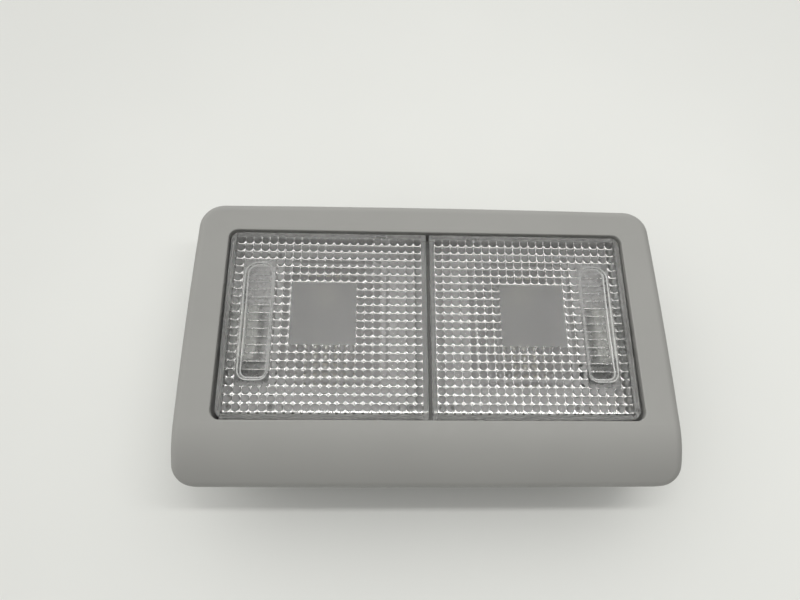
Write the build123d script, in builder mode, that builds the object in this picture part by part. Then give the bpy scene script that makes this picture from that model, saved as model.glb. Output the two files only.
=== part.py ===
from build123d import *
import os

# Car dome light with two push lenses, lying on its back: +Z is the lit side, +Y the rear
# edge, +X the right-hand lens. z = 0 is the flat back of the housing. Millimetres.

# ------------------------------------------------------------------ driving dimensions
total_h = 38.0  # back of the housing to the bezel face

# bezel
bezel_side = 76.0  # half width at the middle of the sides
bezel_front, front_half_w, front_bow, front_corner_r = -45.5, 76.0, 0.2, 6.3
bezel_rear, rear_half_w, rear_bow, rear_corner_r = 44.6, 74.8, 0.5, 8.0
bezel_edge_r = 2.8  # rounding between face and walls
bezel_wall = 2.2
rim_z = 26.0  # plane that lies against the headlining
nose_y, nose_r = -28.2, 26.0  # the front band rolls down from here
open_front, open_front_x, open_rear, open_rear_x = -27.0, 65.3, 34.55, 64.7  # lens opening, a little wider at the front
open_corner_r, open_edge_r = 3.0, 0.35

# lenses (right-hand one; the left is its mirror image)
cell = 2.6  # pitch of the moulded optics
row_y = 6.65  # middle of the plain window
lens_in, lens_out = 0.5, 64.2
lens_front, lens_rear = -26.5, 34.15
lens_top, lens_bottom = 37.2, 29.0
lens_plate, lens_skirt = 2.0, 1.6
lens_corner_r, lens_roll_r, lens_mid_r = 2.8, 1.0, 0.4
pad_x0, pad_x1 = 49.8, 57.2  # finger recess
pad_y0, pad_y1, pad_corner_r = -14.2, 22.3, 2.0
pad_end_depth, pad_mid_depth = 0.4, 1.0
rib_r = 0.3
pivot_x, pivot_z = 15.4, 32.0  # rocking axis, parallel to Y
pin_r, bore_r, slot_w = 1.5, 1.56, 2.5
foot_x, foot_r = 58.0, 1.0  # rib that presses the plunger
foot_y0, foot_y1 = -7.0, 10.0
foot_z = 33.1

# housing
tub_x, tub_front, tub_rear = 68.4, -29.4, 37.6
tub_wall, tub_floor = 2.0, 1.8
tub_top = 35.4
tub_corner_r, tub_base_r = 4.0, 2.0
screw_x, screw_front, screw_rear = 50.0, -33.0, 40.0
ear_w, ear_z0, ear_z1 = 9.0, 29.0, 31.0
divider_t, divider_z0, divider_z1 = 1.6, 4.0, 27.5
stop_w, stop_z = 4.0, 28.9  # ledge on the divider that the inner skirts rest on
rib_w, rib_out, rib_z0, rib_z1 = 1.4, 1.0, 3.0, 27.0  # stiffening ribs outside
vent_n, vent_pitch, vent_w, vent_l = 5, 4.0, 1.8, 17.0  # slots under each bulb
mark_r, mark_deep = 3.0, 0.3  # ejector marks on the back

# screws
screw_r, screw_top, screw_head_r, screw_head_h = 1.2, 34.4, 2.1, 1.7

# reflectors
refl_x0, refl_x1, refl_y0, refl_y1 = 0.95, 65.6, -27.0, 35.2
refl_z, refl_t = 25.2, 1.0
well_x0, well_x1, well_y0, well_y1 = 53.6, 61.8, -13.6, 11.4  # opening for the plunger head
nook_x0, nook_y1 = 50.4, -8.4  # its wider front end
dish_cx, dish_w, dish_l, dish_floor_w, dish_floor_l, dish_floor_z = (
    31.0,
    34.0,
    42.0,
    17.0,
    35.0,
    8.0,
)
post_xs, post_ys, post_r, stake_r = (6.0, 48.5, 63.4), (-22.0, 30.0), 2.2, 1.2

# bulbs, lying along Y under the windows
bulb_x, bulb_z = 33.4, 14.0
glass_r, glass_half, neck_r = 4.4, 8.0, 3.4
cap_r, cap_half, tip_half, tip_r = 3.6, 12.6, 15.5, 1.0
clip_in, clip_t, clip_w, clip_top, clip_hole_r = 14.4, 0.6, 7.0, 18.5, 2.05

# busbars and socket
strip_t = 0.8
pin_x, pin_w, pin_z, pin_tip = 2.2, 1.8, 8.0, 42.8
sock_half_in, sock_z0, sock_z1 = 7.8, 2.8, 13.2
sock_wall, sock_mouth, sock_back = 1.4, 44.4, 38.6

# switches (right-hand one)
sw_x, sw_y = 58.0, 1.5
sw_w, sw_l, sw_z0, sw_z1, sw_wall = 11.0, 20.0, 2.7, 24.0, 1.2
stem_w, stem_l, guide_gap = 5.0, 9.0, 0.08
head_x0, head_x1, head_y0, head_y1 = 54.2, 61.4, -7.5, 10.5
head_z0, head_z1 = 30.5, 33.0
flange_w, flange_l, flange_z0, flange_z1 = 7.2, 12.0, 20.7, 22.25
spring_r, wire_r, spring_turns = 2.2, 0.25, 8
spigot_r = 1.6
blade_xs = (55.9, 60.1)  # lamp contact, feed contact
blade_y, blade_w, blade_top = 6.3, 1.4, 17.5

# mounting clips on the short sides
mclip_y, mclip_w, mclip_t = 4.0, 12.0, 0.6

os.makedirs("parts", exist_ok=True)


# ------------------------------------------------------------------ bezel
# hollow behind the face: the same outline and face, one wall thickness in
core_fx, core_fy = front_half_w - bezel_wall, bezel_front + front_bow + bezel_wall
core_rx, core_ry = rear_half_w - bezel_wall, bezel_rear - rear_bow - bezel_wall
with BuildPart() as bezel_core:
    with BuildSketch(Plane.XY.offset(rim_z - 2)):
        with BuildLine():
            ThreePointArc((-core_fx, core_fy), (0, bezel_front + bezel_wall), (core_fx, core_fy))
            ThreePointArc((core_fx, core_fy), (bezel_side - bezel_wall, 0), (core_rx, core_ry))
            ThreePointArc((core_rx, core_ry), (0, bezel_rear - bezel_wall), (-core_rx, core_ry))
            ThreePointArc((-core_rx, core_ry), (-bezel_side + bezel_wall, 0), (-core_fx, core_fy))
        make_face()
        fillet(vertices().group_by(Axis.Y)[0], front_corner_r - bezel_wall)
        fillet(vertices().group_by(Axis.Y)[-1], rear_corner_r - bezel_wall)
    extrude(amount=total_h)
    with BuildSketch(Plane.YZ):
        with BuildLine():
            Polyline(
                (nose_y, total_h - bezel_wall),
                (60, total_h - bezel_wall),
                (60, 0),
                (nose_y - nose_r + bezel_wall, 0),
                (nose_y - nose_r + bezel_wall, total_h - nose_r),
            )
            CenterArc((nose_y, total_h - nose_r), nose_r - bezel_wall, 90, 90)
        make_face()
    extrude(amount=100, both=True, mode=Mode.INTERSECT)

corner_fy, corner_ry = bezel_front + front_bow, bezel_rear - rear_bow
with BuildPart() as bezel:
    # walls
    with BuildSketch(Plane.XY.offset(rim_z)):
        with BuildLine():
            ThreePointArc((-front_half_w, corner_fy), (0, bezel_front), (front_half_w, corner_fy))
            ThreePointArc((front_half_w, corner_fy), (bezel_side, 0), (rear_half_w, corner_ry))
            ThreePointArc((rear_half_w, corner_ry), (0, bezel_rear), (-rear_half_w, corner_ry))
            ThreePointArc((-rear_half_w, corner_ry), (-bezel_side, 0), (-front_half_w, corner_fy))
        make_face()
        fillet(vertices().group_by(Axis.Y)[0], front_corner_r)
        fillet(vertices().group_by(Axis.Y)[-1], rear_corner_r)
    extrude(amount=total_h)
    # face: flat, with the front band rolling down
    with BuildSketch(Plane.YZ):
        with BuildLine():
            Polyline(
                (nose_y, total_h),
                (60, total_h),
                (60, 0),
                (nose_y - nose_r, 0),
                (nose_y - nose_r, total_h - nose_r),
            )
            CenterArc((nose_y, total_h - nose_r), nose_r, 90, 90)
        make_face()
    extrude(amount=100, both=True, mode=Mode.INTERSECT)
    rim_loop = (
        edges()
        .filter_by(lambda e: e.center().Z > rim_z + 1)
        .filter_by(lambda e: abs((e % 0.5).Z) < 0.95)
        .filter_by(lambda e: not (abs(e.center().Y - nose_y) < 0.01 and abs((e % 0.5).X) > 0.99))
    )
    fillet(rim_loop, bezel_edge_r)
    add(bezel_core.part, mode=Mode.SUBTRACT)
    # bosses for the case screws, hanging from the inside of the face
    with BuildSketch(Plane.XY.offset(ear_z1)):
        with Locations(
            (-screw_x, screw_front), (screw_x, screw_front), (-screw_x, screw_rear), (screw_x, screw_rear)
        ):
            Circle(2.3)
    extrude(amount=total_h - bezel_wall + 0.6 - ear_z1)
    with BuildSketch(Plane.XY.offset(ear_z1)):
        with Locations(
            (-screw_x, screw_front), (screw_x, screw_front), (-screw_x, screw_rear), (screw_x, screw_rear)
        ):
            Circle(screw_r + 0.05)
    extrude(amount=screw_top + 0.3 - ear_z1, mode=Mode.SUBTRACT)
    # lens opening with a rounded lip
    with BuildSketch(Plane.XY.offset(total_h + 1)):
        with BuildLine():
            Polyline(
                (-open_front_x, open_front),
                (open_front_x, open_front),
                (open_rear_x, open_rear),
                (-open_rear_x, open_rear),
                close=True,
            )
        make_face()
        fillet(vertices(), open_corner_r)
    extrude(amount=-bezel_wall - 2, mode=Mode.SUBTRACT)
    lip = (
        edges()
        .filter_by(lambda e: abs(e.center().Z - total_h) < 1e-4)
        .filter_by(lambda e: abs(e.center().X) < open_front_x + 0.1 and open_front - 0.1 < e.center().Y < open_rear + 0.1)
    )
    fillet(lip, open_edge_r)
bezel.part.label = "bezel"
export_step(bezel.part, "parts/bezel.step")


# ------------------------------------------------------------------ lenses
# shallow finger recess with a floor that dips towards its middle
pad_len, pad_mid = pad_y1 - pad_y0, (pad_y0 + pad_y1) / 2
with BuildPart() as pad_void:
    with BuildSketch(Plane.XY.offset(lens_top - 2)):
        with Locations(((pad_x0 + pad_x1) / 2, pad_mid)):
            RectangleRounded(pad_x1 - pad_x0, pad_len, pad_corner_r)
    extrude(amount=4)
    with BuildSketch(Plane.YZ):
        with BuildLine():
            ThreePointArc(
                (pad_y0, lens_top - pad_end_depth),
                (pad_mid, lens_top - pad_mid_depth),
                (pad_y1, lens_top - pad_end_depth),
            )
            Polyline(
                (pad_y1, lens_top - pad_end_depth),
                (pad_y1, lens_top + 1),
                (pad_y0, lens_top + 1),
                (pad_y0, lens_top - pad_end_depth),
            )
        make_face()
    extrude(amount=100, mode=Mode.INTERSECT)
    # cross ribs left standing in the recess
    pad_R = ((pad_len / 2) ** 2 + (pad_mid_depth - pad_end_depth) ** 2) / (
        2 * (pad_mid_depth - pad_end_depth)
    )
    for k in range(-7, 6):
        rib_y = row_y + k * cell
        rib_z = (
            lens_top - pad_mid_depth + pad_R - (pad_R**2 - (rib_y - pad_mid) ** 2) ** 0.5
        )
        with BuildSketch(Plane.YZ.offset(pad_x0 - 1)):
            with Locations((rib_y, rib_z)):
                Circle(rib_r)
        extrude(amount=pad_x1 - pad_x0 + 2, mode=Mode.SUBTRACT)

with BuildPart() as right_lens:
    with BuildSketch(Plane.XY.offset(lens_bottom)):
        with Locations(((lens_in + lens_out) / 2, (lens_front + lens_rear) / 2)):
            Rectangle(lens_out - lens_in, lens_rear - lens_front)
    extrude(amount=lens_top - lens_bottom)
    fillet(
        edges().filter_by(Axis.Z).group_by(Axis.X)[-1],
        lens_corner_r,
    )
    fillet(faces().sort_by(Axis.Z)[-1].edges().sort_by(Axis.X)[1:], lens_roll_r)
    fillet(
        edges()
        .filter_by(lambda e: abs(e.center().X - lens_in) < 1e-4)
        .filter_by(lambda e: e.center().Z > lens_top - lens_roll_r + 0.1),
        lens_mid_r,
    )
    # hollow underside
    with BuildSketch(Plane.XY.offset(lens_bottom)):
        with Locations(((lens_in + lens_out) / 2, (lens_front + lens_rear) / 2)):
            RectangleRounded(
                lens_out - lens_in - 2 * lens_skirt, lens_rear - lens_front - 2 * lens_skirt, 1.0
            )
    extrude(amount=lens_top - lens_plate - lens_bottom, mode=Mode.SUBTRACT)
    # finger recess
    add(pad_void.part, mode=Mode.SUBTRACT)
    # foot that bears on the plunger
    with BuildSketch(Plane.XZ.offset(-foot_y0)):
        with Locations((foot_x, (lens_top - lens_plate + foot_z + foot_r) / 2)):
            Rectangle(2 * foot_r, lens_top - lens_plate - foot_z - foot_r)
        with Locations((foot_x, foot_z + foot_r)):
            Circle(foot_r)
    extrude(amount=-(foot_y1 - foot_y0))
    # trunnions at front and rear
    with BuildSketch(Plane.XZ.offset(-lens_front - 0.4)):
        with Locations((pivot_x, pivot_z)):
            Circle(pin_r)
    extrude(amount=lens_front - tub_front - 0.2 + 0.4)
    with BuildSketch(Plane.XZ.offset(-lens_rear + 0.4)):
        with Locations((pivot_x, pivot_z)):
            Circle(pin_r)
    extrude(amount=-(tub_rear - lens_rear - 0.2 + 0.4))
right_lens.part.label = "right_lens"
export_step(right_lens.part, "parts/right_lens.step")

with BuildPart() as left_lens:
    mirror(right_lens.part, about=Plane.YZ)
left_lens.part.label = "left_lens"
export_step(left_lens.part, "parts/left_lens.step")


# ------------------------------------------------------------------ housing
with BuildPart() as housing:
    with BuildSketch():
        with Locations((0, (tub_front + tub_rear) / 2)):
            RectangleRounded(2 * tub_x, tub_rear - tub_front, tub_corner_r)
    extrude(amount=tub_top)
    fillet(faces().sort_by(Axis.Z)[0].edges(), tub_base_r)
    with BuildSketch(Plane.XY.offset(tub_floor)):
        with Locations((0, (tub_front + tub_rear) / 2)):
            RectangleRounded(
                2 * (tub_x - tub_wall), tub_rear - tub_front - 2 * tub_wall, tub_corner_r - tub_wall
            )
    extrude(amount=tub_top, mode=Mode.SUBTRACT)
    # ears for the case screws
    with BuildSketch(Plane.XY.offset(ear_z0)):
        for x in (-screw_x, screw_x):
            with Locations((x, (tub_front + screw_front - 3) / 2)):
                Rectangle(ear_w, tub_front - screw_front + 3)
            with Locations((x, (tub_rear + screw_rear + 1.9) / 2)):
                Rectangle(ear_w, screw_rear + 1.9 - tub_rear)
    extrude(amount=ear_z1 - ear_z0)
    with Locations((0, 0, ear_z1)):
        with Locations(
            (-screw_x, screw_front), (screw_x, screw_front), (-screw_x, screw_rear), (screw_x, screw_rear)
        ):
            Hole(screw_r + 0.25, ear_z1 - ear_z0)
    # light divider between the two lamp chambers
    with BuildSketch(Plane.XY.offset(divider_z0)):
        with Locations((0, (tub_front + tub_rear) / 2)):
            Rectangle(divider_t, tub_rear - tub_front - 2 * tub_wall)
    extrude(amount=divider_z1 - divider_z0)
    with BuildSketch(Plane.XY.offset(divider_z1)):
        with Locations((0, (tub_front + tub_rear) / 2)):
            Rectangle(stop_w, tub_rear - tub_front - 2 * tub_wall)
    extrude(amount=stop_z - divider_z1)
    # reflector posts with stake pins
    with BuildSketch(Plane.XY.offset(tub_floor)):
        for sx in (-1, 1):
            for x in post_xs:
                for y in post_ys:
                    with Locations((sx * x, y)):
                        Circle(post_r)
    extrude(amount=refl_z - refl_t - tub_floor)
    with BuildSketch(Plane.XY.offset(refl_z - refl_t)):
        for sx in (-1, 1):
            for x in post_xs:
                for y in post_ys:
                    with Locations((sx * x, y)):
                        Circle(stake_r)
    extrude(amount=refl_t + 0.6)
    # stiffening ribs outside
    with BuildSketch(Plane.XY.offset(rib_z0)):
        for x in (-38, -22, 22, 38):
            with Locations((x, (tub_front + tub_rear) / 2)):
                Rectangle(rib_w, tub_rear - tub_front + 2 * rib_out)
        for y in (-18, 26):
            with Locations((0, y)):
                Rectangle(2 * tub_x + 2 * rib_out, rib_w)
        with Locations((0, (tub_front + tub_rear) / 2)):
            Rectangle(2 * tub_x - tub_wall, tub_rear - tub_front - tub_wall, mode=Mode.SUBTRACT)
    extrude(amount=rib_z1 - rib_z0)
    # vent slots under the bulbs
    with BuildSketch(Plane.XY.offset(-1)):
        for s in (-1, 1):
            for k in range(vent_n):
                with Locations((s * bulb_x + (k - (vent_n - 1) / 2) * vent_pitch, row_y)):
                    SlotOverall(vent_l, vent_w, rotation=90)
    extrude(amount=tub_floor + 2, mode=Mode.SUBTRACT)
    # ejector marks on the back
    with BuildSketch():
        with Locations(*[(x, y) for x in (-58, -13, 13, 58) for y in (-19, 27)]):
            Circle(mark_r)
    extrude(amount=mark_deep, mode=Mode.SUBTRACT)
    # switch stakes
    with BuildSketch(Plane.XY.offset(tub_floor)):
        for sx in (-1, 1):
            for y in (sw_y - sw_l / 2 - 2, sw_y + sw_l / 2 + 2):
                with Locations((sx * sw_x, y)):
                    Circle(1.0)
    extrude(amount=3.2)
    # pivot slots for the lens trunnions, open at the top for snapping in
    with BuildSketch(Plane.XZ.offset(-tub_rear - 1)):
        for sx in (-1, 1):
            with Locations((sx * pivot_x, pivot_z)):
                Circle(bore_r)
            with Locations((sx * pivot_x, (pivot_z + tub_top + 1) / 2)):
                Rectangle(slot_w, tub_top + 1 - pivot_z)
    extrude(amount=tub_rear - tub_front + 2, mode=Mode.SUBTRACT)
    # socket cut-out in the rear wall
    with BuildSketch(Plane.XZ.offset(-tub_rear - 1)):
        with Locations((0, (sock_z0 + sock_z1) / 2)):
            Rectangle(2 * sock_half_in, sock_z1 - sock_z0)
    extrude(amount=tub_wall + 1, mode=Mode.SUBTRACT)
    # stake heads that hold the mounting clips
    with BuildSketch(Plane.YZ.offset(tub_x)):
        with Locations((mclip_y, 13), (mclip_y, 19)):
            Circle(1.4)
    extrude(amount=mclip_t)
    with BuildSketch(Plane.YZ.offset(tub_x + mclip_t)):
        with Locations((mclip_y, 13), (mclip_y, 19)):
            Circle(2.2)
    extrude(amount=0.8)
    with BuildSketch(Plane.YZ.offset(-tub_x)):
        with Locations((mclip_y, 13), (mclip_y, 19)):
            Circle(1.4)
    extrude(amount=-mclip_t)
    with BuildSketch(Plane.YZ.offset(-tub_x - mclip_t)):
        with Locations((mclip_y, 13), (mclip_y, 19)):
            Circle(2.2)
    extrude(amount=-0.8)
housing.part.label = "housing"
export_step(housing.part, "parts/housing.step")


# ------------------------------------------------------------------ case screws
with BuildPart() as case_screws:
    with BuildSketch(Plane.XY.offset(ear_z0)):
        with Locations(
            (-screw_x, screw_front), (screw_x, screw_front), (-screw_x, screw_rear), (screw_x, screw_rear)
        ):
            Circle(screw_r)
    extrude(amount=screw_top - ear_z0)
    with BuildSketch(Plane.XY.offset(ear_z0)):
        with Locations(
            (-screw_x, screw_front), (screw_x, screw_front), (-screw_x, screw_rear), (screw_x, screw_rear)
        ):
            Circle(screw_head_r)
    extrude(amount=-screw_head_h)
    fillet(
        edges().filter_by(GeomType.CIRCLE).group_by(Axis.Z)[0],
        0.6,
    )
    # cross recess in each head
    with BuildSketch(Plane.XY.offset(ear_z0 - screw_head_h)):
        with Locations(
            (-screw_x, screw_front), (screw_x, screw_front), (-screw_x, screw_rear), (screw_x, screw_rear)
        ):
            Rectangle(2.6, 0.6)
            Rectangle(0.6, 2.6)
    extrude(amount=1.0, mode=Mode.SUBTRACT)
case_screws.part.label = "case_screws"
export_step(case_screws.part, "parts/case_screws.step")


# ------------------------------------------------------------------ reflectors
with BuildPart() as right_reflector:
    with BuildSketch(Plane.XY.offset(refl_z - refl_t)):
        with Locations(((refl_x0 + refl_x1) / 2, (refl_y0 + refl_y1) / 2)):
            RectangleRounded(refl_x1 - refl_x0, refl_y1 - refl_y0, 2.0)
    extrude(amount=refl_t)
    # dish, outside
    with BuildSketch(Plane.XY.offset(dish_floor_z - refl_t)):
        with Locations((bulb_x, row_y)):
            RectangleRounded(dish_floor_w + 2 * refl_t, dish_floor_l + 2 * refl_t, 4.0 + refl_t)
    with BuildSketch(Plane.XY.offset(refl_z - refl_t)):
        with Locations((dish_cx, row_y)):
            RectangleRounded(dish_w + 2 * refl_t, dish_l + 2 * refl_t, 5.0 + refl_t)
    loft()
    # dish, inside
    with BuildSketch(Plane.XY.offset(dish_floor_z)):
        with Locations((bulb_x, row_y)):
            RectangleRounded(dish_floor_w, dish_floor_l, 4.0)
    with BuildSketch(Plane.XY.offset(refl_z)):
        with Locations((dish_cx, row_y)):
            RectangleRounded(dish_w, dish_l, 5.0)
    loft(mode=Mode.SUBTRACT)
    # slots for the bulb clips
    with BuildSketch(Plane.XY.offset(dish_floor_z - refl_t - 1)):
        with Locations(
            (bulb_x, row_y - clip_in - clip_t / 2), (bulb_x, row_y + clip_in + clip_t / 2)
        ):
            Rectangle(clip_w + 0.8, clip_t + 0.8)
    extrude(amount=refl_t + 2, mode=Mode.SUBTRACT)
    # opening for the plunger head
    with BuildSketch(Plane.XY.offset(refl_z - refl_t - 1)):
        with Locations(((well_x0 + well_x1) / 2, (well_y0 + well_y1) / 2)):
            RectangleRounded(well_x1 - well_x0, well_y1 - well_y0, 1.8)
        with Locations(((nook_x0 + well_x1) / 2, (well_y0 + nook_y1) / 2)):
            RectangleRounded(well_x1 - nook_x0, nook_y1 - well_y0, 1.2)
    extrude(amount=refl_t + 2, mode=Mode.SUBTRACT)
    # stake holes
    with BuildSketch(Plane.XY.offset(refl_z - refl_t - 1)):
        for x in post_xs:
            for y in post_ys:
                with Locations((x, y)):
                    Circle(stake_r + 0.1)
    extrude(amount=refl_t + 2, mode=Mode.SUBTRACT)
right_reflector.part.label = "right_reflector"
export_step(right_reflector.part, "parts/right_reflector.step")

with BuildPart() as left_reflector:
    mirror(right_reflector.part, about=Plane.YZ)
left_reflector.part.label = "left_reflector"
export_step(left_reflector.part, "parts/left_reflector.step")


# ------------------------------------------------------------------ bulbs
bulb_plane = Plane(origin=(bulb_x, row_y, bulb_z), x_dir=(0, 1, 0), z_dir=(1, 0, 0))
bulb_axis = Axis((bulb_x, row_y, bulb_z), (0, 1, 0))

with BuildPart() as right_bulb_glass:
    with BuildSketch(bulb_plane):
        with BuildLine():
            Polyline((-glass_half, 0), (-glass_half, neck_r), (-glass_half + 0.8, neck_r))
            TangentArc((-glass_half + 0.8, neck_r), (-glass_half + 2.2, glass_r), tangent=(0.4, 1))
            Line((-glass_half + 2.2, glass_r), (glass_half - 2.2, glass_r))
            TangentArc((glass_half - 0.8, neck_r), (glass_half - 2.2, glass_r), tangent=(-0.4, 1))
            Polyline((glass_half - 0.8, neck_r), (glass_half, neck_r), (glass_half, 0), (-glass_half, 0))
        make_face()
    revolve(axis=bulb_axis)
right_bulb_glass.part.label = "right_bulb_glass"
export_step(right_bulb_glass.part, "parts/right_bulb_glass.step")

with BuildPart() as right_bulb_caps:
    with BuildSketch(bulb_plane):
        for s in (-1, 1):
            with BuildLine():
                Polyline(
                    (s * glass_half, 0),
                    (s * glass_half, cap_r),
                    (s * cap_half, cap_r),
                    (s * tip_half, tip_r),
                    (s * tip_half, 0),
                    close=True,
                )
            make_face()
    revolve(axis=bulb_axis)
right_bulb_caps.part.label = "right_bulb_caps"
export_step(right_bulb_caps.part, "parts/right_bulb_caps.step")

with BuildPart() as left_bulb_glass:
    mirror(right_bulb_glass.part, about=Plane.YZ)
left_bulb_glass.part.label = "left_bulb_glass"
export_step(left_bulb_glass.part, "parts/left_bulb_glass.step")

with BuildPart() as left_bulb_caps:
    mirror(right_bulb_caps.part, about=Plane.YZ)
left_bulb_caps.part.label = "left_bulb_caps"
export_step(left_bulb_caps.part, "parts/left_bulb_caps.step")


# ------------------------------------------------------------------ busbars
strip_z1 = tub_floor + strip_t
clip_front_y = row_y - clip_in - clip_t / 2
clip_rear_y = row_y + clip_in + clip_t / 2

# ground: socket pin, spine, cross strip and the two front bulb clips
with BuildPart() as ground_busbar:
    with BuildSketch(Plane.XY.offset(tub_floor)):
        with Locations((pin_x, (clip_front_y - 1 + 30) / 2)):
            Rectangle(pin_w, 30 - clip_front_y + 1)
        with Locations((0, clip_front_y - 0.7)):
            Rectangle(2 * bulb_x + clip_w, 2.0)
    extrude(amount=strip_t)
    with BuildSketch(Plane.XY.offset(tub_floor)):
        with Locations((pin_x, 30 - strip_t / 2)):
            Rectangle(pin_w, strip_t)
    extrude(amount=pin_z + strip_t / 2 - tub_floor)
    with BuildSketch(Plane.XY.offset(pin_z - strip_t / 2)):
        with Locations((pin_x, (30 - strip_t + pin_tip) / 2)):
            Rectangle(pin_w, pin_tip - 30 + strip_t)
    extrude(amount=strip_t)
    with BuildSketch(Plane.XZ.offset(-clip_front_y - clip_t / 2)):
        for s in (-1, 1):
            with Locations((s * bulb_x, (tub_floor + clip_top) / 2)):
                Rectangle(clip_w, clip_top - tub_floor)
    extrude(amount=clip_t)
    with BuildSketch(Plane.XZ.offset(-clip_front_y - 2)):
        for s in (-1, 1):
            with Locations((s * bulb_x, bulb_z)):
                Circle(clip_hole_r)
    extrude(amount=4, mode=Mode.SUBTRACT)
ground_busbar.part.label = "ground_busbar"
export_step(ground_busbar.part, "parts/ground_busbar.step")

# feed: socket pin, rear strip and a contact blade in each switch
with BuildPart() as feed_busbar:
    feed_y0, feed_y1 = 32.6, 35.2
    with BuildSketch(Plane.XY.offset(tub_floor)):
        with Locations((0, (feed_y0 + feed_y1) / 2)):
            Rectangle(2 * blade_xs[1] + blade_w, feed_y1 - feed_y0)
        for s in (-1, 1):
            with Locations((s * blade_xs[1], (feed_y1 + blade_y - strip_t / 2) / 2)):
                Rectangle(blade_w, feed_y1 - blade_y + strip_t / 2)
    extrude(amount=strip_t)
    with BuildSketch(Plane.XY.offset(tub_floor)):
        for s in (-1, 1):
            with Locations((s * blade_xs[1], blade_y)):
                Rectangle(blade_w, strip_t)
    extrude(amount=blade_top - tub_floor)
    with BuildSketch(Plane.XY.offset(tub_floor)):
        with Locations((-pin_x, 33.4)):
            Rectangle(pin_w, strip_t)
    extrude(amount=pin_z + strip_t / 2 - tub_floor)
    with BuildSketch(Plane.XY.offset(pin_z - strip_t / 2)):
        with Locations((-pin_x, (33.4 - strip_t / 2 + pin_tip) / 2)):
            Rectangle(pin_w, pin_tip - 33.4 + strip_t / 2)
    extrude(amount=strip_t)
feed_busbar.part.label = "feed_busbar"
export_step(feed_busbar.part, "parts/feed_busbar.step")

# lamp strip: rear bulb clip to the inner contact blade of the switch
with BuildPart() as right_lamp_busbar:
    with BuildSketch(Plane.XY.offset(tub_floor)):
        with Locations(((bulb_x - clip_w / 2 + blade_xs[0] + blade_w / 2) / 2, clip_rear_y + 0.7)):
            Rectangle(blade_xs[0] + blade_w / 2 - bulb_x + clip_w / 2, 2.0)
        with Locations((blade_xs[0], (clip_rear_y + 1.7 + blade_y - strip_t / 2) / 2)):
            Rectangle(blade_w, clip_rear_y + 1.7 - blade_y + strip_t / 2)
    extrude(amount=strip_t)
    with BuildSketch(Plane.XY.offset(tub_floor)):
        with Locations((blade_xs[0], blade_y)):
            Rectangle(blade_w, strip_t)
    extrude(amount=blade_top - tub_floor)
    with BuildSketch(Plane.XZ.offset(-clip_rear_y - clip_t / 2)):
        with Locations((bulb_x, (tub_floor + clip_top) / 2)):
            Rectangle(clip_w, clip_top - tub_floor)
    extrude(amount=clip_t)
    with BuildSketch(Plane.XZ.offset(-clip_rear_y - 2)):
        with Locations((bulb_x, bulb_z)):
            Circle(clip_hole_r)
    extrude(amount=4, mode=Mode.SUBTRACT)
right_lamp_busbar.part.label = "right_lamp_busbar"
export_step(right_lamp_busbar.part, "parts/right_lamp_busbar.step")

with BuildPart() as left_lamp_busbar:
    mirror(right_lamp_busbar.part, about=Plane.YZ)
left_lamp_busbar.part.label = "left_lamp_busbar"
export_step(left_lamp_busbar.part, "parts/left_lamp_busbar.step")


# ------------------------------------------------------------------ connector socket
inner_wall_y = tub_rear - tub_wall
with BuildPart() as connector_socket:
    # back plate filling the cut-out in the wall
    with BuildSketch(Plane.XZ.offset(-sock_back)):
        with Locations((0, (sock_z0 + sock_z1) / 2)):
            Rectangle(2 * sock_half_in - 0.1, sock_z1 - sock_z0 - 0.1)
    extrude(amount=sock_back - inner_wall_y)
    # shroud standing on the wall's outer face
    with BuildSketch(Plane.XZ.offset(-sock_mouth)):
        with Locations((0, (sock_z0 + sock_z1) / 2)):
            RectangleRounded(2 * sock_half_in + 2 * sock_wall, sock_z1 - sock_z0 + 2 * sock_wall, 1.2)
    extrude(amount=sock_mouth - tub_rear)
    with BuildSketch(Plane.XZ.offset(-sock_mouth)):
        with Locations((0, (sock_z0 + sock_z1) / 2)):
            RectangleRounded(2 * sock_half_in, sock_z1 - sock_z0, 0.6)
        # keyway
        with Locations((0, sock_z1 + 0.3)):
            Rectangle(4.0, 0.8)
    extrude(amount=sock_mouth - sock_back, mode=Mode.SUBTRACT)
    # slots for the two pins
    with BuildSketch(Plane.XZ.offset(-sock_mouth)):
        with Locations((-pin_x, pin_z), (pin_x, pin_z)):
            Rectangle(pin_w + 0.1, strip_t + 0.1)
    extrude(amount=sock_mouth - inner_wall_y + 1, mode=Mode.SUBTRACT)
connector_socket.part.label = "connector_socket"
export_step(connector_socket.part, "parts/connector_socket.step")


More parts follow.
